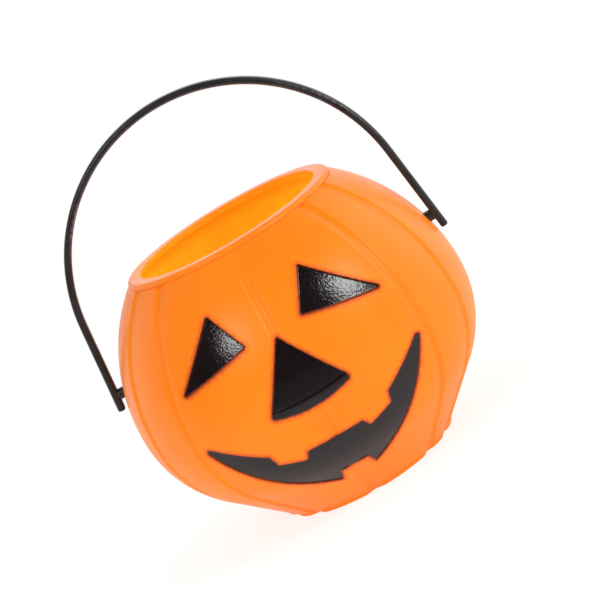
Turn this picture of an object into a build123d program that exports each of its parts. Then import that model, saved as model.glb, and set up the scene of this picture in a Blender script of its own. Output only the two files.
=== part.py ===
# Pumpkin candy pail: a round moulded shell with a recessed, painted jack-o'-lantern face and a swinging bail.
# Millimetres, +Z up, the face looks towards -Y, origin in the middle of the foot.
import os
from math import acos, asin, atan2, cos, degrees, hypot, radians, sin, sqrt, tan
from build123d import *

os.makedirs("parts", exist_ok=True)

# Shell: the side is two arcs that meet upright at the belly, and a straight cone down to the foot
belly_width = 65.0
belly_height = 24.5
body_height = 51.0
wall = 1.2
lower_round_share = 0.887

# Mouth: a flat lip on a low collar
mouth_radius = 17.65
lip_width = 2.7
lip_thickness = 1.0
lip_rounding = 0.7
mouth_rounding = 0.35
neck_step = 0.25

# Foot: a low ring round a shallow hollow
foot_radius = 17.2
foot_height = 0.6
foot_rounding = 0.4
foot_ring_width = 3.2
base_hollow = 1.2
base_hollow_slope = 0.8
floor_thickness = 1.2
floor_rounding = 1.5

# Rib grooves: a row on each half of the mould, with plain panels behind the eyes and at the pegs
rib_angle = 21.3
front_ribs = (-3, -2, 2, 3)
back_ribs = (-3, -2, -1, 0, 1, 2, 3)
groove_depth = 0.4
groove_valley_radius = 1.5
groove_flank_angle = 29.0
groove_edge_angle = 8.0
groove_wing = 1.6
groove_clearing = 2.0
brow_groove_top_share = 0.72
brow_groove_run_out = 9.0

# Face: recesses sunk along the front-to-back direction, each with a film of paint on its floor
face_depth = 0.6
paint_thickness = 0.1

eye_width = 15.0
eye_height = 11.2
eye_spacing = 10.0
eye_rise_share = 0.314
eye_top_share = 0.25
eye_inner_share = 0.356
eye_corner = 0.45

nose_width = 15.2
nose_height = 11.75
nose_drop = 0.2
nose_corner = 0.45
nose_base_corner = 0.15
nose_lap_side = 0.6
nose_lap_bow = 1.15
nose_lap_corner = 0.5

mouth_width = 42.4
tip_shares = (1.02, -0.004)
mouth_corner = 0.35
tip_corner = 0.62
lower_lip_bow = 2.55
upper_lip_bow = 0.25
fang_outer_top_shares = (0.535, 0.270)
fang_outer_foot_shares = (0.507, 0.362)
fang_inner_foot_shares = (0.290, 0.420)
fang_inner_top_shares = (0.250, 0.354)
low_tooth_foot_shares = (0.151, 0.757)
low_tooth_top_shares = (0.118, 0.669)

# Bail: an arch and two straight legs that spread a little, with a peg and a tail on each
peg_height = 33.9
arch_rise = 41.5
leg_spread = 7.0
leg_gap = 1.05
rod_thickness = 1.35
rod_width = 2.2
rod_rounding = 0.6
tail_length = 2.8
tail_rounding = 0.3
peg_radius = 1.0
peg_clearance = 0.06
head_radius = 1.45
head_tip_radius = 0.9
head_rim = 0.4
head_length = 1.5
head_seat_gap = 0.25

# One overrun for cuts that pass right through
overrun = 2.0

belly_radius = belly_width / 2
lip_radius = mouth_radius + lip_width
neck_radius = lip_radius + neck_step
neck_height = body_height - lip_thickness
upper_height = neck_height - belly_height
lower_height = belly_height - foot_height
floor_height = base_hollow + floor_thickness

# The upper arc stands upright at the belly and ends at the neck
neck_drop = belly_radius - neck_radius
upper_radius = (neck_drop**2 + upper_height**2) / (2 * neck_drop)
upper_centre = (belly_radius - upper_radius, belly_height)

# The lower arc stands upright at the belly, and the cone is its tangent from the foot's edge
lower_radius = lower_round_share * lower_height
lower_centre = (belly_radius - lower_radius, belly_height)
foot_reach = foot_radius - belly_radius + lower_radius
foot_direction = degrees(atan2(-lower_height, foot_reach))
cone_angle = foot_direction + degrees(acos(lower_radius / hypot(foot_reach, lower_height)))
cone_out = cos(radians(cone_angle))
cone_down = sin(radians(cone_angle))


def upper_angle(inset, height):
    """Angle on the upper arc, inset by a distance, at which it reaches a height."""
    return degrees(asin((height - belly_height) / (upper_radius - inset)))


def side_radius(inset, height):
    """Radius of the upper part of the side, inset by a distance, at a height."""
    arc = upper_radius - inset
    return upper_centre[0] + sqrt(arc**2 - (height - belly_height) ** 2)


def cone_point(inset, height):
    """Point of the cone, inset by a distance, at a height."""
    arc = lower_radius - inset
    start_height = belly_height + arc * cone_down
    fall = (start_height - height) / cone_out
    return (lower_centre[0] + arc * cone_out + fall * cone_down, height)


def turned_core(inset, bottom, top):
    """Solid of revolution whose side lies a distance inside the shell's outer side, between two heights."""
    foot_end = cone_point(inset, bottom)
    with BuildPart() as core:
        with BuildSketch(Plane.XZ):
            with BuildLine():
                low = CenterArc(lower_centre, lower_radius - inset, cone_angle, -cone_angle)
                high = CenterArc(upper_centre, upper_radius - inset, 0, upper_angle(inset, top))
                Polyline(low @ 0, foot_end, (0, bottom), (0, top), high @ 1)
            make_face()
        revolve(axis=Axis.Z)
    return core.part


def eye_outline(side):
    """Three-cornered eye on one side of the middle, with its outer corner low."""
    low = belly_height + eye_rise_share * upper_height
    inner = eye_spacing / 2
    with BuildSketch() as outline:
        with BuildLine():
            Polyline(
                (side * (inner + eye_width), low),
                (side * (inner + eye_top_share * eye_width), low + eye_height),
                (side * inner, low + eye_inner_share * eye_height),
                close=True,
            )
        make_face()
        fillet(outline.vertices(), eye_corner)
    return outline.sketch


def nose_outline():
    """Upright triangle with a straight lower edge."""
    low = belly_height - nose_drop
    with BuildSketch() as outline:
        with BuildLine():
            Polyline((-nose_width / 2, low), (nose_width / 2, low), (0, low + nose_height), close=True)
        make_face()
        fillet(outline.vertices().sort_by(Axis.Y)[-1], nose_corner)
        fillet(outline.vertices().group_by(Axis.Y)[0], nose_base_corner)
    return outline.sketch


def mouth_point(shares):
    """Point of the mouth from its shares of the half width and of the height from belly to foot."""
    return (shares[0] * mouth_width / 2, belly_height - shares[1] * lower_height)


def mouth_outline():
    """Wide grin with two fangs above and one square tooth below."""
    tip = mouth_point(tip_shares)
    fang_inner_top = mouth_point(fang_inner_top_shares)
    fang_outer_top = mouth_point(fang_outer_top_shares)
    low_tooth_foot = mouth_point(low_tooth_foot_shares)
    low_tooth_top = mouth_point(low_tooth_top_shares)
    with BuildSketch() as outline:
        with BuildLine():
            Polyline(
                fang_inner_top,
                mouth_point(fang_inner_foot_shares),
                mouth_point(fang_outer_foot_shares),
                fang_outer_top,
            )
            SagittaArc(fang_outer_top, tip, -upper_lip_bow)
            SagittaArc(tip, low_tooth_foot, lower_lip_bow)
            Line(low_tooth_foot, low_tooth_top)
            mirror(about=Plane.YZ)
            Line((-fang_inner_top[0], fang_inner_top[1]), fang_inner_top)
            Line((-low_tooth_top[0], low_tooth_top[1]), low_tooth_top)
        make_face()
        across = outline.vertices().sort_by(Axis.X)
        fillet(across[1:-1], mouth_corner)
        across = outline.vertices().sort_by(Axis.X)
        fillet([across[0], across[-1]], tip_corner)
    return outline.sketch


def front_layer(outline, floor, top):
    """The part of an outline, carried straight forward, that lies between two turned solids."""
    with BuildPart() as layer:
        with BuildSketch(Plane.XZ):
            add(outline)
        extrude(amount=belly_radius + overrun)
        add(top, mode=Mode.INTERSECT)
        add(floor, mode=Mode.SUBTRACT)
    return layer.part


shell_core = turned_core(0, foot_height, neck_height)
floor_core = turned_core(face_depth, foot_height, neck_height)
paint_core = turned_core(face_depth - paint_thickness, foot_height, neck_height)
lap_core = turned_core(-paint_thickness, foot_height, neck_height)
clear_core = turned_core(-overrun, foot_height, neck_height)
left_eye = eye_outline(-1)
right_eye = eye_outline(1)
nose = nose_outline()
mouth = mouth_outline()

# Section of a groove: a round valley between two rounded shoulders
flank = radians(groove_flank_angle)
edge = radians(groove_edge_angle)
valley_rise = groove_valley_radius * (1 - cos(flank))
shoulder_radius = (groove_depth - valley_rise) / (cos(edge) - cos(flank))
shoulder_gap = groove_valley_radius + shoulder_radius
shoulder_out = groove_valley_radius - groove_depth - shoulder_gap * cos(flank)
groove_half = groove_valley_radius * sin(flank) + shoulder_radius * (sin(flank) - sin(edge))
wing_rise = groove_wing * sin(edge)
wing_edge = groove_half + groove_wing * cos(edge)


def groove_cutter(top, run_out):
    """Valley swept up the side to a height, and on along the tangent there if it is to run out of the surface."""
    start = cone_point(0, -overrun)
    outward = (cone_out, 0, cone_down)
    upward = (-cone_down, 0, cone_out)
    with BuildPart() as cutter:
        with BuildLine(Plane.XZ):
            low_arc = CenterArc(lower_centre, lower_radius, cone_angle, -cone_angle)
            Line(start, low_arc @ 0)
            high_arc = CenterArc(upper_centre, upper_radius, 0, upper_angle(0, top))
            if run_out:
                Line(high_arc @ 1, high_arc @ 1 + run_out * (high_arc % 1))
        with BuildSketch(Plane(origin=(start[0], 0, start[1]), x_dir=outward, z_dir=upward)):
            with BuildLine():
                CenterArc(
                    (groove_valley_radius - groove_depth, 0),
                    groove_valley_radius,
                    180 - groove_flank_angle,
                    2 * groove_flank_angle,
                )
                left = CenterArc(
                    (shoulder_out, shoulder_gap * sin(flank)),
                    shoulder_radius,
                    -groove_flank_angle,
                    groove_flank_angle - groove_edge_angle,
                )
                right = CenterArc(
                    (shoulder_out, -shoulder_gap * sin(flank)),
                    shoulder_radius,
                    groove_flank_angle,
                    groove_edge_angle - groove_flank_angle,
                )
                Polyline(
                    left @ 1,
                    (wing_rise, wing_edge),
                    (groove_clearing, wing_edge),
                    (groove_clearing, -wing_edge),
                    (wing_rise, -wing_edge),
                    right @ 1,
                )
            make_face()
        sweep()
    return cutter.part


rib_cutter = groove_cutter(neck_height, 0)
brow_cutter = groove_cutter(belly_height + brow_groove_top_share * upper_height, brow_groove_run_out)

# Hollow of the pail, with a rounded floor edge
with BuildPart() as hollow:
    add(turned_core(wall, floor_height, neck_height))
    fillet(hollow.edges().group_by(Axis.Z)[0], floor_rounding)

# Pail shell
with BuildPart() as pail_body:
    add(shell_core)
    with BuildSketch(Plane.XY):
        Circle(foot_radius)
    extrude(amount=foot_height)
    fillet(pail_body.edges().group_by(Axis.Z)[0], foot_rounding)
    with BuildSketch(Plane.XY.offset(neck_height)):
        Circle(lip_radius)
    extrude(amount=lip_thickness)
    fillet(pail_body.edges().group_by(Axis.Z)[-1], lip_rounding)
    for rib in front_ribs:
        add(rib_cutter, rotation=(0, 0, rib * rib_angle - 90), mode=Mode.SUBTRACT)
    for rib in back_ribs:
        add(rib_cutter, rotation=(0, 0, rib * rib_angle + 90), mode=Mode.SUBTRACT)
    add(brow_cutter, rotation=(0, 0, -90), mode=Mode.SUBTRACT)
    with BuildSketch(Plane.XZ):
        with BuildLine():
            ring_inner = foot_radius - foot_ring_width
            Polyline(
                (0, -overrun),
                (ring_inner, -overrun),
                (ring_inner, 0),
                (ring_inner - base_hollow_slope, base_hollow),
                (0, base_hollow),
                close=True,
            )
        make_face()
    revolve(axis=Axis.Z, mode=Mode.SUBTRACT)
    add(hollow.part, mode=Mode.SUBTRACT)
    with BuildSketch(Plane.XY.offset(belly_height)):
        Circle(mouth_radius)
    extrude(amount=body_height, mode=Mode.SUBTRACT)
    fillet(pail_body.edges().group_by(Axis.Z)[-1].sort_by(SortBy.RADIUS)[0], mouth_rounding)
    for outline in (left_eye, right_eye, nose, mouth):
        add(front_layer(outline, floor_core, clear_core), mode=Mode.SUBTRACT)
    with BuildSketch(Plane.YZ):
        with Locations((0, peg_height)):
            Circle(peg_radius + peg_clearance)
    extrude(amount=belly_width, both=True, mode=Mode.SUBTRACT)
pail_body.part.label = "pail_body"
export_step(pail_body.part, "parts/pail_body.step")

# Paint: a thin film on the floor of each recess
with BuildPart() as left_eye_paint:
    add(front_layer(left_eye, floor_core, paint_core))
left_eye_paint.part.label = "left_eye_paint"
export_step(left_eye_paint.part, "parts/left_eye_paint.step")

with BuildPart() as right_eye_paint:
    add(front_layer(right_eye, floor_core, paint_core))
right_eye_paint.part.label = "right_eye_paint"
export_step(right_eye_paint.part, "parts/right_eye_paint.step")

with BuildPart() as mouth_paint:
    add(front_layer(mouth, floor_core, paint_core))
mouth_paint.part.label = "mouth_paint"
export_step(mouth_paint.part, "parts/mouth_paint.step")

# The nose's paint climbs the lower wall of its recess and laps over the belly below in a shallow bow
nose_low = belly_height - nose_drop
step_top = nose_low + paint_thickness
nose_slope = atan2(nose_height, nose_width / 2)
step_half = nose_width / 2 - nose_base_corner / tan(nose_slope / 2)
with BuildSketch() as lap_outline:
    with BuildLine():
        lap_half = nose_width / 2 - nose_base_corner
        lap_low = nose_low - nose_lap_side
        sides = Polyline((-lap_half, lap_low), (-lap_half, step_top), (lap_half, step_top), (lap_half, lap_low))
        SagittaArc(sides @ 0, sides @ 1, -nose_lap_bow)
    make_face()
    fillet(lap_outline.vertices().group_by(Axis.Y)[0], nose_lap_corner)
with BuildSketch() as step_outline:
    with BuildLine():
        Polyline(
            (-step_half, nose_low),
            (step_half, nose_low),
            (step_half, step_top),
            (-step_half, step_top),
            close=True,
        )
    make_face()
with BuildPart() as nose_paint:
    add(front_layer(nose, floor_core, paint_core))
    add(front_layer(step_outline.sketch, floor_core, lap_core))
    add(front_layer(lap_outline.sketch, shell_core, lap_core))
nose_paint.part.label = "nose_paint"
export_step(nose_paint.part, "parts/nose_paint.step")

# Bail: one rod with a round-edged section, and a peg with a snap head on each leg.
# The arch's radius makes the legs, tangent to it, stand clear of the shell at the pegs.
spread = radians(leg_spread)
peg_span = side_radius(0, peg_height) + leg_gap + rod_thickness / 2
arch_radius = (peg_span - arch_rise * tan(spread)) / (cos(spread) - tan(spread) * (1 - sin(spread)))
arch_height = peg_height + arch_rise - arch_radius
arch_end = (arch_radius * cos(spread), arch_height + arch_radius * sin(spread))
leg_length = (arch_end[1] - peg_height) / cos(spread) + tail_length
tail_end = (arch_end[0] + leg_length * sin(spread), arch_end[1] - leg_length * cos(spread))
head_seat = side_radius(wall, peg_height + head_radius) - head_seat_gap

with BuildPart() as bail_handle:
    with BuildLine(Plane.XZ):
        Line(tail_end, arch_end)
        arch = CenterArc((0, arch_height), arch_radius, leg_spread, 180 - 2 * leg_spread)
        Line(arch @ 1, (-tail_end[0], tail_end[1]))
    rod_direction = (-sin(spread), 0, cos(spread))
    with BuildSketch(Plane(origin=(tail_end[0], 0, tail_end[1]), x_dir=(0, 1, 0), z_dir=rod_direction)):
        RectangleRounded(rod_width, rod_thickness, rod_rounding)
    sweep()
    fillet(bail_handle.faces().sort_by(Axis.Z)[:2].edges(), tail_rounding)
    with BuildSketch(Plane.XZ):
        with BuildLine():
            Polyline(
                (peg_span, peg_height),
                (peg_span, peg_height + peg_radius),
                (head_seat, peg_height + peg_radius),
                (head_seat, peg_height + head_radius),
                (head_seat - head_rim, peg_height + head_radius),
                (head_seat - head_length, peg_height + head_tip_radius),
                (head_seat - head_length, peg_height),
                close=True,
            )
        make_face()
        mirror(about=Plane.YZ)
    revolve(axis=Axis((0, 0, peg_height), (1, 0, 0)))
bail_handle.part.label = "bail_handle"
export_step(bail_handle.part, "parts/bail_handle.step")
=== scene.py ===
# %% [markdown]
# # A pumpkin candy pail
# The pail is a small moulded pumpkin with a sunken, painted face and a thin bail that swings on two pegs.
# Its shapes come from the CAD part, so this script loads them first and never moves them.
# What is left for Blender is the camera, the light and the finishes, and the soft edges that spraying
# leaves round the painted face. The red band round each recess is partly paint mist and partly painted
# shade of a rounded rim.

# %% Load the CAD part
import math

import bmesh
import bpy
from mathutils import Matrix, Vector, geometry


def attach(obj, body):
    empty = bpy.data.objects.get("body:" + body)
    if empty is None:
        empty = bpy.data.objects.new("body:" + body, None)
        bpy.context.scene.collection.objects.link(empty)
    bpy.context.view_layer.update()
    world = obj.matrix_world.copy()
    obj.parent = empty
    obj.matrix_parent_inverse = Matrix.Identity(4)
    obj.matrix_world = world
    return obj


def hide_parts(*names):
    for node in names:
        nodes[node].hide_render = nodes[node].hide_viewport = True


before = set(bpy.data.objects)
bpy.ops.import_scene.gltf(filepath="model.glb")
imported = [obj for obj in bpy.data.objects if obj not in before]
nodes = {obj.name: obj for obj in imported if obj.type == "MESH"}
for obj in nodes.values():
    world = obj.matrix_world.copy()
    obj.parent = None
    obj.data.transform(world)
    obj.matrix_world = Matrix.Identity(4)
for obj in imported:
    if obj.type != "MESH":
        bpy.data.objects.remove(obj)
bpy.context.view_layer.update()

MM = 0.001
scene = bpy.context.scene
print("CAD nodes:", sorted(nodes))

# %% [markdown]
# ## The camera
# The pail is seen a little from above and a little from its right, and the picture is rolled, so that the
# pail leans to the left in it. A camera could be turned by Euler angles, but the roll makes them hard to
# read. Here the three axes of the camera are built one after the other and set as the columns of its
# matrix.

# %% Camera
TARGET = Vector((0, 0, 26 * MM))
CAMERA_DISTANCE = 420 * MM
CAMERA_ELEVATION = math.radians(13.3)
CAMERA_TURN = math.radians(5)
PICTURE_ROLL = math.radians(31)
PICTURE_PIXELS = 600
FOCAL_PIXELS = 2353.7
TARGET_LEFT_PIXELS = 2.9
TARGET_BELOW_PIXELS = 41.8
SENSOR_WIDTH = 36
NEAREST_SEEN = 10 * MM


def direction(turn, elevation):
    """Unit vector from the pail towards a place round it: turn 0 is straight in front of the face."""
    level = math.cos(elevation)
    return Vector((math.sin(turn) * level, -math.cos(turn) * level, math.sin(elevation)))


def axes_matrix(right, up, back, place):
    """Matrix whose columns are three axes and a place."""
    turned = Matrix((right, up, back)).transposed().to_4x4()
    return Matrix.Translation(place) @ turned


back = direction(CAMERA_TURN, CAMERA_ELEVATION)
level_right = Vector((0, 0, 1)).cross(back).normalized()
level_up = back.cross(level_right)
right = level_right * math.cos(PICTURE_ROLL) - level_up * math.sin(PICTURE_ROLL)
up = level_right * math.sin(PICTURE_ROLL) + level_up * math.cos(PICTURE_ROLL)

pixel_size = CAMERA_DISTANCE / FOCAL_PIXELS
aim = TARGET + (right * TARGET_LEFT_PIXELS + up * TARGET_BELOW_PIXELS) * pixel_size
place = TARGET + back * CAMERA_DISTANCE
back = (place - aim).normalized()
right = up.cross(back).normalized()
up = back.cross(right)

camera_data = bpy.data.cameras.new("pail_camera")
camera_data.sensor_width = SENSOR_WIDTH
camera_data.lens = SENSOR_WIDTH * FOCAL_PIXELS / PICTURE_PIXELS
camera_data.clip_start = NEAREST_SEEN
camera = bpy.data.objects.new("pail_camera", camera_data)
camera.matrix_world = axes_matrix(right, up, back, place)
scene.collection.objects.link(camera)
scene.camera = camera
print("Camera lens in mm:", round(camera_data.lens, 1))

# %% [markdown]
# ## Helpers for nodes
# Worlds and materials are trees of nodes. Many of these nodes work on numbers, and an input takes either a
# plain number or a link from another node.
# A few helpers add such nodes in one line each. Each gives back the socket with its result, so that the
# lines further down read like formulas.

# %% Helpers for nodes
def add_node(tree, kind, **settings):
    """New node in a tree, with its settings."""
    node = tree.nodes.new(kind)
    for name, value in settings.items():
        setattr(node, name, value)
    return node


def feed(tree, slot, value):
    """Links a socket to a node's input, or sets the input to a plain value."""
    if isinstance(value, bpy.types.NodeSocket):
        tree.links.new(value, slot)
    else:
        slot.default_value = value


def math_node(tree, operation, first, second):
    """Math node on two numbers or sockets, and gives its result socket."""
    node = add_node(tree, "ShaderNodeMath", operation=operation)
    feed(tree, node.inputs[0], first)
    feed(tree, node.inputs[1], second)
    return node.outputs[0]


def range_node(tree, value, source, target, smooth=False):
    """Carries a value from one range to another, and gives the result socket."""
    node = add_node(tree, "ShaderNodeMapRange")
    node.interpolation_type = "SMOOTHSTEP" if smooth else "LINEAR"
    tree.links.new(value, node.inputs["Value"])
    for name, number in zip(("From Min", "From Max", "To Min", "To Max"), (*source, *target)):
        node.inputs[name].default_value = number
    return node.outputs["Result"]


def mix_numbers(tree, share, first, second):
    """Mixes two numbers or sockets by a share, and gives the result socket."""
    node = add_node(tree, "ShaderNodeMix", data_type="FLOAT")
    # a Mix node has inputs for each kind of data, and those for numbers are 2 and 3
    feed(tree, node.inputs[0], share)
    feed(tree, node.inputs[2], first)
    feed(tree, node.inputs[3], second)
    return node.outputs[0]


print("Node helpers: add_node, feed, math_node, range_node, mix_numbers")

# %% [markdown]
# ## The white room
# The world is white where the camera looks. The light that it sheds on the pail from all round is weaker,
# because the lamps should show how round the pail is.
# In reflections the room is dark in front of the face, and turns white towards the back. A room that is
# white all round would make the shiny black paint look grey.
# One world does all this, because the Light Path node tells these kinds of rays apart. The Standard view
# transform shows the colours as they come out of the shaders.

# %% World
scene.view_settings.view_transform = "Standard"
AMBIENT_STRENGTH = 0.52
ROOM_DARK_STRENGTH = 0.03
ROOM_DARK_SIDE = (-0.3, 0.6)

world = bpy.data.worlds.new("white_room")
scene.world = world
world.use_nodes = True
tree = world.node_tree
tree.nodes.clear()
ray = add_node(tree, "ShaderNodeLightPath")
where = add_node(tree, "ShaderNodeTexCoord")
split = add_node(tree, "ShaderNodeSeparateXYZ")
tree.links.new(where.outputs["Generated"], split.inputs[0])
room = range_node(tree, split.outputs["Y"], ROOM_DARK_SIDE, (ROOM_DARK_STRENGTH, 1), smooth=True)
strength = mix_numbers(tree, ray.outputs["Is Glossy Ray"], AMBIENT_STRENGTH, room)
seen = math_node(tree, "MAXIMUM", ray.outputs["Is Camera Ray"], ray.outputs["Is Transmission Ray"])
strength = mix_numbers(tree, seen, strength, 1)
background = add_node(tree, "ShaderNodeBackground")
background.inputs["Color"].default_value = (1, 1, 1, 1)
tree.links.new(strength, background.inputs["Strength"])
output = add_node(tree, "ShaderNodeOutputWorld")
tree.links.new(background.outputs[0], output.inputs["Surface"])
print("World: white, ambient", AMBIENT_STRENGTH)

# %% [markdown]
# ## The white floor
# The pail stands on a white sweep. A plane alone would show its far edge, so the floor fades into the
# white of the world with the distance from the pail, and only its middle takes the shadow.
# A floor that is lit by lamps alone would show a stronger shadow. So the floor that is seen takes only a
# part of its white from the lamps and glows for the rest, and the shadow stays faint.
# The glow is weaker in reflections and in the light that the floor throws up at the pail. In reflections
# the floor in front of the pail fades to dark instead of white, as the room is dark on that side.

# %% Floor
FLOOR_RADIUS = 2.0
FLOOR_SIDES = 96
FLOOR_DROP = 0.05 * MM
FLOOR_WHITE = 0.9
FLOOR_SEEN_WHITE = 0.36
FLOOR_LIFT = 0.74
FLOOR_GLOSS_LIFT = 0.48
FLOOR_BOUNCE_LIFT = 0.4
FLOOR_FRONT_DARK = (-0.14, -0.05)
FLOOR_FRONT_STRENGTH = 0.16
SHADOW_FIELD = (0.05, 0.16)


def mesh_object(name, shape, material):
    """Object at the origin from a bmesh, with one material."""
    mesh = bpy.data.meshes.new(name)
    shape.to_mesh(mesh)
    shape.free()
    mesh.materials.append(material)
    made = bpy.data.objects.new(name, mesh)
    scene.collection.objects.link(made)
    return made


floor_material = bpy.data.materials.new("white_sweep")
floor_material.use_nodes = True
tree = floor_material.node_tree
tree.nodes.clear()
ray = add_node(tree, "ShaderNodeLightPath")
glossy = ray.outputs["Is Glossy Ray"]
where = add_node(tree, "ShaderNodeTexCoord").outputs["Object"]
length = add_node(tree, "ShaderNodeVectorMath", operation="LENGTH")
tree.links.new(where, length.inputs[0])
far = range_node(tree, length.outputs["Value"], SHADOW_FIELD, (0, 1), smooth=True)
seen = math_node(tree, "MAXIMUM", ray.outputs["Is Camera Ray"], ray.outputs["Is Transmission Ray"])
seen = math_node(tree, "MAXIMUM", seen, glossy)
plain = add_node(tree, "ShaderNodeBsdfDiffuse")
tree.links.new(mix_numbers(tree, seen, FLOOR_WHITE, FLOOR_SEEN_WHITE), plain.inputs["Color"])
lift = add_node(tree, "ShaderNodeEmission")
lift_strength = mix_numbers(tree, seen, FLOOR_BOUNCE_LIFT, FLOOR_LIFT)
lift_strength = mix_numbers(tree, glossy, lift_strength, FLOOR_GLOSS_LIFT)
tree.links.new(lift_strength, lift.inputs["Strength"])
near = add_node(tree, "ShaderNodeAddShader")
tree.links.new(plain.outputs[0], near.inputs[0])
tree.links.new(lift.outputs[0], near.inputs[1])
split = add_node(tree, "ShaderNodeSeparateXYZ")
tree.links.new(where, split.inputs[0])
front = range_node(tree, split.outputs["Y"], FLOOR_FRONT_DARK, (FLOOR_FRONT_STRENGTH, 1), smooth=True)
white = add_node(tree, "ShaderNodeEmission")
tree.links.new(mix_numbers(tree, glossy, 1, front), white.inputs["Strength"])
fade = add_node(tree, "ShaderNodeMixShader")
tree.links.new(math_node(tree, "MULTIPLY", seen, far), fade.inputs[0])
tree.links.new(near.outputs[0], fade.inputs[1])
tree.links.new(white.outputs[0], fade.inputs[2])
output = add_node(tree, "ShaderNodeOutputMaterial")
tree.links.new(fade.outputs[0], output.inputs["Surface"])

shape = bmesh.new()
bmesh.ops.create_circle(shape, cap_ends=True, radius=FLOOR_RADIUS, segments=FLOOR_SIDES)
bmesh.ops.translate(shape, vec=(0, 0, -FLOOR_DROP), verts=shape.verts)
floor = mesh_object("white_floor", shape, floor_material)
print("Floor radius in m:", FLOOR_RADIUS)

# %% [markdown]
# ## The lamps
# Two softboxes stand high on either side of the face. Each one shows as a broken highlight in one eye, so
# their places follow from the mirror rule: the paint's outward direction lies halfway between the camera
# and the lamp. A lamp with a wide face gives soft shading on the round shell. Three more, beside and
# behind the pail, light its sides and line its lip.
# The pail's thin wall lets a good deal of light in. A small lamp inside stands for that light, so that the
# inside isn't a dark hole.

# %% Softboxes
LAMP_DISTANCE = 0.6
LAMPS = {
    "left_softbox": {"turn": -32, "elevation": 35, "size": 0.15, "power": 0.9},
    "right_softbox": {"turn": 57, "elevation": 27, "size": 0.18, "power": 1.35},
    "side_left_softbox": {"turn": -110, "elevation": 22, "size": 0.45, "power": 0.25},
    "side_right_softbox": {"turn": 112, "elevation": 20, "size": 0.45, "power": 0.8},
    "back_softbox": {"turn": 176, "elevation": 32, "size": 0.5, "power": 0.5},
}
INSIDE_LAMP_HEIGHT = 28 * MM
INSIDE_LAMP_RADIUS = 9 * MM
INSIDE_LAMP_POWER = 0.016

for name, lamp in LAMPS.items():
    light = bpy.data.lights.new(name, "AREA")
    light.shape = "SQUARE"
    light.size = lamp["size"]
    light.energy = lamp["power"]
    towards = direction(math.radians(lamp["turn"]), math.radians(lamp["elevation"]))
    softbox = bpy.data.objects.new(name, light)
    softbox.location = TARGET + towards * LAMP_DISTANCE
    softbox.rotation_euler = towards.to_track_quat("Z", "Y").to_euler()
    softbox.visible_camera = False
    scene.collection.objects.link(softbox)
    print(name, "at", [round(part, 2) for part in softbox.location])

light = bpy.data.lights.new("inside_lamp", "POINT")
light.shadow_soft_size = INSIDE_LAMP_RADIUS
light.energy = INSIDE_LAMP_POWER
inside_lamp = bpy.data.objects.new("inside_lamp", light)
inside_lamp.location = (0, 0, INSIDE_LAMP_HEIGHT)
inside_lamp.visible_camera = False
scene.collection.objects.link(inside_lamp)
print("inside_lamp at height in mm:", INSIDE_LAMP_HEIGHT / MM)

# %% [markdown]
# ## Helpers for finishes
# Each finish of this pail is one Principled shader. Noise on the object's own coordinates makes its
# colour, gloss or relief uneven. A picture texture would need unwrapping, and would repeat.
# One helper starts such a material. The others add noise, mix colours, raise relief and put the material
# on a piece of the CAD part.

# %% Helpers for finishes
FINISH_IOR = 1.5


def new_finish(name):
    """Material with an empty tree, its Principled shader and its object coordinates."""
    material = bpy.data.materials.new(name)
    material.use_nodes = True
    tree = material.node_tree
    tree.nodes.clear()
    shader = add_node(tree, "ShaderNodeBsdfPrincipled")
    shader.inputs["IOR"].default_value = FINISH_IOR
    output = add_node(tree, "ShaderNodeOutputMaterial")
    tree.links.new(shader.outputs[0], output.inputs["Surface"])
    where = add_node(tree, "ShaderNodeTexCoord").outputs["Object"]
    return material, tree, shader, where


def noise_node(tree, where, scale, detail, stretch=(1, 1, 1)):
    """Noise on coordinates that may be stretched, and gives its value socket."""
    mapping = add_node(tree, "ShaderNodeMapping")
    mapping.inputs["Scale"].default_value = stretch
    tree.links.new(where, mapping.inputs["Vector"])
    noise = add_node(tree, "ShaderNodeTexNoise")
    noise.inputs["Scale"].default_value = scale
    noise.inputs["Detail"].default_value = detail
    tree.links.new(mapping.outputs[0], noise.inputs["Vector"])
    return noise.outputs[0]


def mix_colours(tree, share, first, second):
    """Mixes two colours or sockets by a share, and gives the colour socket."""
    node = add_node(tree, "ShaderNodeMix", data_type="RGBA")
    # a Mix node's inputs for colours are 6 and 7, and its result is output 2
    feed(tree, node.inputs[0], share)
    feed(tree, node.inputs[6], first)
    feed(tree, node.inputs[7], second)
    return node.outputs[2]


def bump_node(tree, height, distance, strength=1, below=None):
    """Bump of a height socket, over another bump if one is given, and gives its normal socket."""
    node = add_node(tree, "ShaderNodeBump")
    node.inputs["Distance"].default_value = distance
    feed(tree, node.inputs["Strength"], strength)
    tree.links.new(height, node.inputs["Height"])
    if below is not None:
        tree.links.new(below, node.inputs["Normal"])
    return node.outputs[0]


def dress(node_name, material):
    """Gives a CAD node one finish in place of all its materials."""
    mesh = nodes[node_name].data
    mesh.materials.clear()
    mesh.materials.append(material)


print("Finishes share an IOR of", FINISH_IOR)

# %% [markdown]
# ## Orange plastic, first step: the inside
# Seen from inside, the light has come through the thin wall, and the plastic looks amber there. That amber
# is
# painted light: the inside gets an amber base colour that stands in for the glow of the light through the
# wall.
# So the shader has to know which surface is the inside, and the CAD part has one mesh for both.
# An inner wall is found from its normals, because it faces the axis of the pail. The inner floor faces up,
# so it is found by its height and radius instead. Towards the lip the painted amber glow fades.

# %% Mask of the inside
FACING_AXIS = -0.1 * MM
INNER_FLOOR_HEIGHT = 2.4 * MM
INNER_FLOOR_SLACK = 1 * MM
INNER_FLOOR_RADIUS = 17.4 * MM
LIP_FADE = (46 * MM, 50.5 * MM)
LIP_AMBER = 0.3


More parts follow.
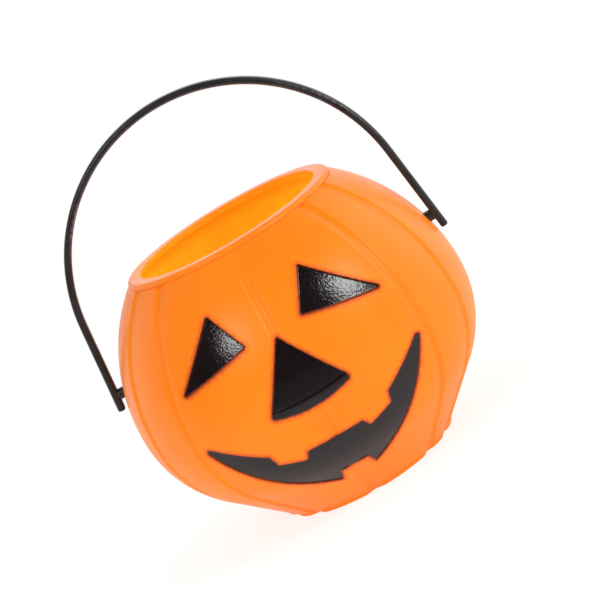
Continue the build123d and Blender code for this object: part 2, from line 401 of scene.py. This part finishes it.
def inside_mask(tree):
    """Socket that is 1 on the pail's inner wall and floor, less at the lip, and 0 elsewhere."""
    space = add_node(tree, "ShaderNodeTexCoord")
    flat = add_node(tree, "ShaderNodeVectorMath", operation="MULTIPLY")
    flat.inputs[1].default_value = (1, 1, 0)
    tree.links.new(space.outputs["Object"], flat.inputs[0])
    facing = add_node(tree, "ShaderNodeVectorMath", operation="DOT_PRODUCT")
    tree.links.new(flat.outputs[0], facing.inputs[0])
    tree.links.new(space.outputs["Normal"], facing.inputs[1])
    radius = add_node(tree, "ShaderNodeVectorMath", operation="LENGTH")
    tree.links.new(flat.outputs[0], radius.inputs[0])
    split = add_node(tree, "ShaderNodeSeparateXYZ")
    tree.links.new(space.outputs["Object"], split.inputs[0])
    height = split.outputs["Z"]
    wall = math_node(tree, "LESS_THAN", facing.outputs["Value"], FACING_AXIS)
    above_floor = math_node(tree, "GREATER_THAN", height, INNER_FLOOR_HEIGHT - INNER_FLOOR_SLACK)
    wall = math_node(tree, "MULTIPLY", wall, above_floor)
    lip_fade = range_node(tree, height, LIP_FADE, (1, LIP_AMBER), smooth=True)
    wall = math_node(tree, "MULTIPLY", wall, lip_fade)
    off_floor = math_node(tree, "SUBTRACT", height, INNER_FLOOR_HEIGHT)
    off_floor = math_node(tree, "ABSOLUTE", off_floor, 0)
    at_floor = math_node(tree, "LESS_THAN", off_floor, INNER_FLOOR_SLACK)
    within = math_node(tree, "LESS_THAN", radius.outputs["Value"], INNER_FLOOR_RADIUS)
    return math_node(tree, "MAXIMUM", wall, math_node(tree, "MULTIPLY", at_floor, within))


shell_finish, tree, shader, where = new_finish("orange_polyethylene")
inside = inside_mask(tree)
print("Shell finish with the mask of its inside:", len(tree.nodes), "nodes")

# %% [markdown]
# ## Orange plastic, second step: colour, gloss and glow
# The shell is moulded in one orange polyethylene. It isn't one flat colour: the pigment is streaked a
# little, the gloss is uneven, the surface has slight waves and a fine grain, and the thin wall lets light
# through. Subsurface scattering carries the light through. It is weak on the outside, where the pigment
# stops most of the light, and full on the inside. The inside's amber base colour is a painted glow as well,
# which stands in for the light through the wall.

# %% Finish of the shell
SHELL_ORANGE = (0.99, 0.238, 0.004, 1)
SHELL_DEEP_ORANGE = (0.97, 0.212, 0.003, 1)
# painted glow: these amber inside colours stand in for light through the wall, not for a colour of the
# plastic
INSIDE_PAINTED_GLOW = (0.92, 0.43, 0.012, 1)
INSIDE_DEEP_PAINTED_GLOW = (0.92, 0.40, 0.01, 1)
SHELL_STREAKS = {"scale": 55, "detail": 4, "stretch": (1, 1, 0.35)}
STREAK_RANGE = (0.35, 0.65)
SHELL_GLOSS = {"scale": 140, "detail": 3}
GLOSS_RANGE = (0.3, 0.7)
SHELL_ROUGHNESS = (0.3, 0.38)
SHELL_WAVES = {"scale": 70, "detail": 1}
SHELL_WAVE_HEIGHT = 0.12 * MM
SHELL_GRAIN = {"scale": 2600, "detail": 2}
SHELL_GRAIN_HEIGHT = 0.006 * MM
SHELL_SPECULAR = 0.21
SCATTER_OUTSIDE, SCATTER_INSIDE = 0.22, 1
SCATTER_SCALE_OUTSIDE, SCATTER_SCALE_INSIDE = 0.8 * MM, 5 * MM
SCATTER_RADIUS = (1.0, 0.5, 0.15)

streaks = range_node(tree, noise_node(tree, where, **SHELL_STREAKS), STREAK_RANGE, (0, 1))
outer = mix_colours(tree, streaks, SHELL_ORANGE, SHELL_DEEP_ORANGE)
inner = mix_colours(tree, streaks, INSIDE_PAINTED_GLOW, INSIDE_DEEP_PAINTED_GLOW)
# painted glow: the inside of the pail gets the amber base colour, which stands in for light through the wall
tree.links.new(mix_colours(tree, inside, outer, inner), shader.inputs["Base Color"])
gloss = range_node(tree, noise_node(tree, where, **SHELL_GLOSS), GLOSS_RANGE, SHELL_ROUGHNESS)
tree.links.new(gloss, shader.inputs["Roughness"])
waves = bump_node(tree, noise_node(tree, where, **SHELL_WAVES), SHELL_WAVE_HEIGHT)
grain = bump_node(tree, noise_node(tree, where, **SHELL_GRAIN), SHELL_GRAIN_HEIGHT, below=waves)
tree.links.new(grain, shader.inputs["Normal"])
scatter = mix_numbers(tree, inside, SCATTER_OUTSIDE, SCATTER_INSIDE)
tree.links.new(scatter, shader.inputs["Subsurface Weight"])
scatter_scale = mix_numbers(tree, inside, SCATTER_SCALE_OUTSIDE, SCATTER_SCALE_INSIDE)
tree.links.new(scatter_scale, shader.inputs["Subsurface Scale"])
shader.inputs["Subsurface Radius"].default_value = SCATTER_RADIUS
shader.inputs["Specular IOR Level"].default_value = SHELL_SPECULAR
dress("pail_body", shell_finish)
print("Shell finish:", len(tree.nodes), "nodes")

# %% [markdown]
# ## Painted face, first step: the outlines
# In the CAD part each paint film is a plain layer on the floor of its recess. Real paint was sprayed on:
# it climbs the walls, thins out over the rim and leaves a reddish edge where the orange shows through. The
# red band just outside each recess is also painted shade, which stands in for the shadow on a rounded rim.
# So each film is modelled anew here, and takes the place of its CAD node.
# The outline comes from a copy of the CAD mesh. Its front faces are joined into one face and pressed flat,
# and that flat face is the cloth from which the film is cut. The nose has two layers, one in the recess
# and one on the belly below it, so its outline is the convex hull of all its points.

# %% Flat outlines of the films
DOUBLES = 0.001 * MM
WELD = 0.08 * MM
FRONT_NORMAL = -0.3
FILMS = {
    # new film: its CAD node, and whether its outline is a convex hull
    "left_eye_film": ("left_eye_paint", False),
    "right_eye_film": ("right_eye_paint", False),
    "mouth_film": ("mouth_paint", False),
    "nose_film": ("nose_paint", True),
}


def flat_sheet(node_name, hull):
    """Flat face, in the plane Y = 0, with the outline that a CAD paint film has from the front."""
    sheet = bmesh.new()
    sheet.from_mesh(nodes[node_name].data)
    if hull:
        points = [vert.co.xz for vert in sheet.verts]
        ring = [points[index] for index in geometry.convex_hull_2d(points)]
        sheet.clear()
        sheet.faces.new([sheet.verts.new((x, 0, z)) for x, z in ring])
    else:
        bmesh.ops.remove_doubles(sheet, verts=sheet.verts, dist=DOUBLES)
        hidden = [face for face in sheet.faces if face.normal.y > FRONT_NORMAL]
        bmesh.ops.delete(sheet, geom=hidden, context="FACES")
        bmesh.ops.dissolve_faces(sheet, faces=sheet.faces)
        bmesh.ops.scale(sheet, vec=(1, 0, 1), verts=sheet.verts)
    bmesh.ops.remove_doubles(sheet, verts=sheet.verts, dist=WELD)
    return sheet


sheets = {name: flat_sheet(node_name, hull) for name, (node_name, hull) in FILMS.items()}
for name, sheet in sheets.items():
    print(name, "outline:", len(sheet.verts), "points,", len(sheet.faces), "face")

# %% [markdown]
# ## Painted face, second step: rings along the edge
# The edge of a film needs rows of points where its depth and colour change. Insetting the flat face
# several times makes such rings. An inset by a negative distance grows the face, which gives a ring out on
# the rim. Each ring is numbered in a vertex layer, so that later steps can tell how far from the edge a
# point lies.

# %% Rings
RIM_RINGS = (
    # mm outwards from the recess's edge, mm under the shell's surface (negative is above it),
    # share of the way from there down to the film's floor, share of paint
    (0.85, -0.004, 0.0, 0.0),
    # the next three rings lie just outside the recess; their red is partly paint mist and partly painted
    # shade of the rim
    (0.26, -0.015, 0.0, 0.17),
    (0.15, -0.015, 0.0, 0.22),
    (0.04, -0.015, 0.0, 0.3),
    (-0.03, -0.015, 0.14, 0.4),
    (-0.1, -0.015, 0.7, 0.54),
    (-0.22, -0.015, 0.97, 0.78),
    (-0.4, -0.015, 1.0, 1.0),
)


def cut_rings(sheet):
    """Grows the flat face to the second ring and insets the inner rings, each numbered in a vertex layer."""
    number = sheet.verts.layers.float.new("ring")
    inset = {"use_boundary": True, "use_even_offset": True}
    growth = -RIM_RINGS[1][0] * MM
    grown = bmesh.ops.inset_region(sheet, faces=sheet.faces, thickness=growth, **inset)
    bmesh.ops.delete(sheet, geom=grown["faces"], context="FACES")
    for vert in sheet.verts:
        vert[number] = 1
    inner = sheet.faces[:]
    for ring in range(2, len(RIM_RINGS)):
        step = (RIM_RINGS[ring - 1][0] - RIM_RINGS[ring][0]) * MM
        bmesh.ops.inset_region(sheet, faces=inner, thickness=step, **inset)
        for vert in inner[0].verts:
            vert[number] = ring


for name, sheet in sheets.items():
    cut_rings(sheet)
    print(name, "with rings:", len(sheet.faces), "faces")

# %% [markdown]
# ## Painted face, third step: a grid
# One big face couldn't follow the round shell, so the sheet is sliced by a grid of planes. Slicing carries
# the ring numbers along.
# The nose gets a few more rows close together, where its paint climbs a step. The step bows upwards at its
# ends, so the sheet is bent until the step is level, sliced, and bent back.

# %% Grid
X_AXIS, Z_AXIS = 0, 2
GRID = 0.4 * MM
NOSE_LOW, NOSE_STEP = 24.3, 0.25
NOSE_HALF, NOSE_BOW = 7.6, 0.42
STEP_BORDER = 0.05
NOSE_STEP_ROWS = (
    NOSE_LOW - STEP_BORDER,
    NOSE_LOW,
    NOSE_LOW + NOSE_STEP,
    NOSE_LOW + NOSE_STEP + STEP_BORDER,
)


def step_rise(x):
    """How far the nose's step has risen at a place beside the middle, in mm."""
    return NOSE_BOW * (x / NOSE_HALF) ** 2


def bow(sheet, way):
    """Bends a sheet down so that rows along the nose's step become level, or up again."""
    for vert in sheet.verts:
        vert.co.z += way * step_rise(vert.co.x / MM) * MM


def slice_grid(sheet, axis, more=()):
    """Slices all faces along planes across an axis, and at some more places in mm."""
    low = min(vert.co[axis] for vert in sheet.verts)
    high = max(vert.co[axis] for vert in sheet.verts)
    across = Vector([float(axis == part) for part in range(3)])
    cuts = [cut * GRID for cut in range(math.ceil(low / GRID), math.floor(high / GRID) + 1)]
    for cut in cuts + [place * MM for place in more]:
        everything = sheet.verts[:] + sheet.edges[:] + sheet.faces[:]
        bmesh.ops.bisect_plane(sheet, geom=everything, plane_co=across * cut, plane_no=across)


for name, sheet in sheets.items():
    slice_grid(sheet, X_AXIS)
    if name == "nose_film":
        bow(sheet, -1)
        slice_grid(sheet, Z_AXIS, NOSE_STEP_ROWS)
        bow(sheet, 1)
    else:
        slice_grid(sheet, Z_AXIS)
    print(name, "sliced into", len(sheet.faces), "faces")

# %% [markdown]
# ## Painted face, fourth step: the mist
# Outside the rim only a mist of paint lies, in a ring wider than the notches of the mouth. An inset would
# cross itself there. So the outer edges are extruded, and each new point moves outwards only as far as it
# stays clear of the other parts of the outline.

# %% Mist ring
MIST_WIDTH = (RIM_RINGS[0][0] - RIM_RINGS[1][0]) * MM
MIST_REACH = 3 * MIST_WIDTH
MIST_STEPS = 9
MIST_ROOM = 0.95
PLACE_DIGITS = 7


def room_outside(point, outward, outline):
    """How far a point of the outline can move outwards before it comes nearer to another part of it."""
    beside = [ends for ends in outline if (ends[0] - point).length < MIST_REACH]
    for step in range(1, MIST_STEPS + 1):
        reach = MIST_WIDTH * step / MIST_STEPS
        moved = point + outward * reach
        for start, end in beside:
            share = geometry.intersect_point_line(moved, start, end)[1]
            nearest = start.lerp(end, min(max(share, 0), 1))
            if (moved - nearest).length < MIST_ROOM * reach:
                return MIST_ROOM * MIST_WIDTH * (step - 1) / MIST_STEPS
    return MIST_WIDTH


def outward_way(vert):
    """Unit vector in the sheet that points away from it at a point of its outline."""
    way = Vector((0, 0, 0))
    for edge in vert.link_edges:
        if edge.is_boundary:
            along = (edge.verts[1].co - edge.verts[0].co).normalized()
            out = (edge.verts[0].co + edge.verts[1].co) / 2 - edge.link_faces[0].calc_center_median()
            way += (out - along * out.dot(along)).normalized()
    return way.normalized()


def add_mist(sheet):
    """Adds the outermost ring, as wide as the outline leaves room for."""
    number = sheet.verts.layers.float["ring"]
    edges = [edge for edge in sheet.edges if edge.is_boundary]
    outline = [(edge.verts[0].co.copy(), edge.verts[1].co.copy()) for edge in edges]
    moves = {}
    for vert in {vert for edge in edges for vert in edge.verts}:
        way = outward_way(vert)
        moves[vert.co.to_tuple(PLACE_DIGITS)] = way * room_outside(vert.co, way, outline)
    for part in bmesh.ops.extrude_edge_only(sheet, edges=edges)["geom"]:
        if isinstance(part, bmesh.types.BMVert):
            part.co += moves[part.co.to_tuple(PLACE_DIGITS)]
            part[number] = 0


for name, sheet in sheets.items():
    add_mist(sheet)
    print(name, "with its mist:", len(sheet.faces), "faces")

# %% [markdown]
# ## Painted face, fifth step: where the shell is
# The films have to lie on the round shell, so the next step has to know where its surface is. A Shrinkwrap
# modifier could press a sheet onto the mesh of the shell, but it would press it into the recesses as well.
# The side of the shell is a cone and two arcs, so its radius at a height comes from the same sizes as the
# CAD part. These sizes are in mm.

# %% Radius of the shell
BELLY_RADIUS, BELLY_HEIGHT = 32.5, 24.5
NECK_RADIUS, NECK_HEIGHT = 20.6, 50.0
FOOT_RADIUS, FOOT_HEIGHT = 17.2, 0.6
LOWER_ROUND_SHARE = 0.887

neck_drop = BELLY_RADIUS - NECK_RADIUS
upper_arc = (neck_drop**2 + (NECK_HEIGHT - BELLY_HEIGHT) ** 2) / (2 * neck_drop)
lower_height = BELLY_HEIGHT - FOOT_HEIGHT
lower_arc = LOWER_ROUND_SHARE * lower_height
foot_reach = FOOT_RADIUS - BELLY_RADIUS + lower_arc
foot_angle = math.atan2(-lower_height, foot_reach)
cone_angle = foot_angle + math.acos(lower_arc / math.hypot(foot_reach, lower_height))


def shell_radius(height, depth):
    """Radius of the shell at a height, a depth under its outer surface, all in mm."""
    rise = height - BELLY_HEIGHT
    if rise >= 0:
        return BELLY_RADIUS - upper_arc + math.sqrt((upper_arc - depth) ** 2 - rise**2)
    arc = lower_arc - depth
    cone_start = arc * math.sin(cone_angle)
    if rise >= cone_start:
        return BELLY_RADIUS - lower_arc + math.sqrt(arc**2 - rise**2)
    fall = (cone_start - rise) / math.cos(cone_angle)
    return BELLY_RADIUS - lower_arc + arc * math.cos(cone_angle) + fall * math.sin(cone_angle)


for height in (FOOT_HEIGHT, BELLY_HEIGHT, NECK_HEIGHT):
    print("Shell at height", height, "mm: radius", round(shell_radius(height, 0), 2), "mm")

# %% [markdown]
# ## Painted face, sixth step: draping
# Now every point of a sheet is carried onto the shell. A depth tells how far under the shell's surface a
# point lies: it falls from the rim to the floor of the recess through the rings.
# The nose's paint runs out of its recess over a step and lies on the belly below. Paint pools in the
# mouth, so it stands nearly level with the shell there. The films of nose and mouth cross the groove in
# the middle of the face, and their edges dip into it.
# At last the sheet is doubled and closed, so that the film is a thin solid. Its outermost edges are kept
# sharp: if they were smoothed, the mist would shade as if it bent down at its edge.

# %% Films on the shell
FILM_DEPTH = {"left_eye_film": 0.5, "right_eye_film": 0.5, "mouth_film": 0.22, "nose_film": 0.5}
FILM_THICKNESS = 0.08
GROOVE_DEPTH, GROOVE_HALF = 0.4, 1.36
LAP_LIFT = 0.1
LAP_GROOVE_SHARE = 0.4


def soft_step(value):
    """Rises from 0 to 1 with level ends."""
    value = min(max(value, 0), 1)
    return value * value * (3 - 2 * value)


def ring_values(number):
    """Depth at the rim, fall and paint share at a ring number, which may lie between two rings."""
    ring = min(int(number), len(RIM_RINGS) - 2)
    share = number - ring
    return [a + share * (b - a) for a, b in zip(RIM_RINGS[ring][1:], RIM_RINGS[ring + 1][1:])]


def film_floor(name, x, height, groove):
    """Depth of a film's middle under the outer surface of the shell."""
    if name != "nose_film":
        return FILM_DEPTH[name]
    inside = soft_step((height - step_rise(x) - NOSE_LOW) / NOSE_STEP)
    lap = LAP_GROOVE_SHARE * groove - LAP_LIFT
    return lap + inside * (FILM_DEPTH[name] - lap)


def drape(name, sheet):
    """Closes a flat sheet into a film and lays it on the shell; gives each point its share of paint."""
    number = sheet.verts.layers.float["ring"]
    paint = sheet.verts.layers.float.new("paint_share")
    backs = sheet.verts[:]
    fronts = bmesh.ops.extrude_face_region(sheet, geom=sheet.faces[:], use_keep_orig=True)["geom"]
    fronts = [part for part in fronts if isinstance(part, bmesh.types.BMVert)]
    for verts, thickness in ((fronts, 0), (backs, FILM_THICKNESS)):
        for vert in verts:
            x, height = vert.co.x / MM, vert.co.z / MM
            rim_depth, fall, vert[paint] = ring_values(vert[number])
            bend = math.cos(math.pi / 2 * min(abs(x) / GROOVE_HALF, 1))
            groove = GROOVE_DEPTH * bend * bend
            top = groove + rim_depth
            depth = top + fall * (film_floor(name, x, height, groove) - top) + thickness
            vert.co.y = -math.sqrt(shell_radius(height, depth) ** 2 - x * x) * MM
    bmesh.ops.recalc_face_normals(sheet, faces=sheet.faces)
    for face in sheet.faces:
        face.smooth = True
    for edge in sheet.edges:
        edge.smooth = any(vert[number] > 0 for vert in edge.verts)


for name, sheet in sheets.items():
    drape(name, sheet)
    print(name, "draped:", len(sheet.verts), "points")

# %% [markdown]
# ## Painted face, last step: the paint
# The paint dries with a fine orange peel, which breaks a lamp's reflection into sparkling grains. Noise of
# a few tenths of a millimetre makes that relief as a bump, because it is far too fine to model. The peel
# is weaker low on the face, where more paint ran together.
# A colour ramp over the share of paint gives the edge: orange where only a mist of paint lies, then red,
# then black. The red just outside the recess is partly paint mist and partly painted shade of a rounded
# rim. Only where the paint is full
# does it turn glossy, because its thin edge is about as dull as the plastic.

# %% Finish of the face paint
# painted shade: the red stops round the rim stand partly for paint mist and partly for the shadow on a
# rounded rim
PAINT_AND_SHADE_COLOURS = (
    # share of paint, colour
    (0.0, (0.98, 0.225, 0.004, 1)),
    (0.08, (0.95, 0.195, 0.005, 1)),
    (0.17, (0.84, 0.135, 0.006, 1)),
    (0.22, (0.74, 0.112, 0.007, 1)),
    (0.3, (0.6, 0.084, 0.007, 1)),
    (0.4, (0.45, 0.058, 0.006, 1)),
    (0.54, (0.3, 0.038, 0.006, 1)),
    (0.78, (0.16, 0.023, 0.005, 1)),
    (0.86, (0.05, 0.01, 0.005, 1)),
    (0.92, (0.008, 0.0045, 0.0047, 1)),
)
MIST_SPOTS = {"scale": 1500, "detail": 2}
SPOT_RANGE = (0.3, 0.7)
SPOT_CHANGE = (-0.08, 0.08)
SPOT_FULL_SHARE = 0.25
ROUGHNESS_SHARES = (0.7, 1)
PAINT_ROUGHNESS = (0.38, 0.15)
SPECULAR_SHARES = (0.6, 1)
PAINT_SPECULAR = (0.2, 0.5)
PEEL = {"scale": 2700, "detail": 1.5}
PEEL_RELIEF = 0.044 * MM
PEEL_HEIGHTS = (28 * MM, 34 * MM)
PEEL_LOW_SHARE = 0.3

paint_finish, tree, shader, where = new_finish("gloss_black_paint")
share = add_node(tree, "ShaderNodeAttribute", attribute_name="paint_share").outputs["Fac"]
spots = range_node(tree, noise_node(tree, where, **MIST_SPOTS), SPOT_RANGE, SPOT_CHANGE)
spots = math_node(tree, "MULTIPLY", spots, range_node(tree, share, (0, SPOT_FULL_SHARE), (0, 1)))
ramp = add_node(tree, "ShaderNodeValToRGB")
for place, _ in PAINT_AND_SHADE_COLOURS[1:-1]:
    ramp.color_ramp.elements.new(place)
for element, (place, colour) in zip(ramp.color_ramp.elements, PAINT_AND_SHADE_COLOURS):
    element.position = place
    element.color = colour
tree.links.new(math_node(tree, "ADD", share, spots), ramp.inputs[0])
tree.links.new(ramp.outputs[0], shader.inputs["Base Color"])
roughness = range_node(tree, share, ROUGHNESS_SHARES, PAINT_ROUGHNESS)
tree.links.new(roughness, shader.inputs["Roughness"])
specular = range_node(tree, share, SPECULAR_SHARES, PAINT_SPECULAR)
tree.links.new(specular, shader.inputs["Specular IOR Level"])
split = add_node(tree, "ShaderNodeSeparateXYZ")
tree.links.new(where, split.inputs[0])
peel_share = range_node(tree, split.outputs["Z"], PEEL_HEIGHTS, (PEEL_LOW_SHARE, 1), smooth=True)
peel = bump_node(tree, noise_node(tree, where, **PEEL), PEEL_RELIEF, strength=peel_share)
tree.links.new(peel, shader.inputs["Normal"])
for name, (node_name, _) in FILMS.items():
    film = mesh_object(name, sheets[name], paint_finish)
    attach(film, "pail")
    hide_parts(node_name)
    print(name, "takes the place of", node_name)

# %% [markdown]
# ## Black bail
# The bail is a thin moulded rod in black polyethylene with a satin skin. Flow in the mould leaves faint
# streaks along the rod, and the skin is slightly grained. The streaks are noise that is squeezed across
# the rod, and they change the gloss as well as the black.

# %% Finish of the bail
BAIL_BLACK = (0.010, 0.010, 0.011, 1)
BAIL_GREY = (0.018, 0.018, 0.019, 1)
BAIL_STREAKS = {"scale": 180, "detail": 3, "stretch": (1, 3, 1)}
BAIL_ROUGHNESS = (0.34, 0.46)
BAIL_GRAIN = {"scale": 3200, "detail": 2}
BAIL_GRAIN_HEIGHT = 0.003 * MM

bail_finish, tree, shader, where = new_finish("black_polyethylene")
streaks = range_node(tree, noise_node(tree, where, **BAIL_STREAKS), STREAK_RANGE, (0, 1))
tree.links.new(mix_colours(tree, streaks, BAIL_BLACK, BAIL_GREY), shader.inputs["Base Color"])
tree.links.new(range_node(tree, streaks, (0, 1), BAIL_ROUGHNESS), shader.inputs["Roughness"])
grain = bump_node(tree, noise_node(tree, where, **BAIL_GRAIN), BAIL_GRAIN_HEIGHT)
tree.links.new(grain, shader.inputs["Normal"])
dress("bail_handle", bail_finish)
print("Bail finish:", len(tree.nodes), "nodes")
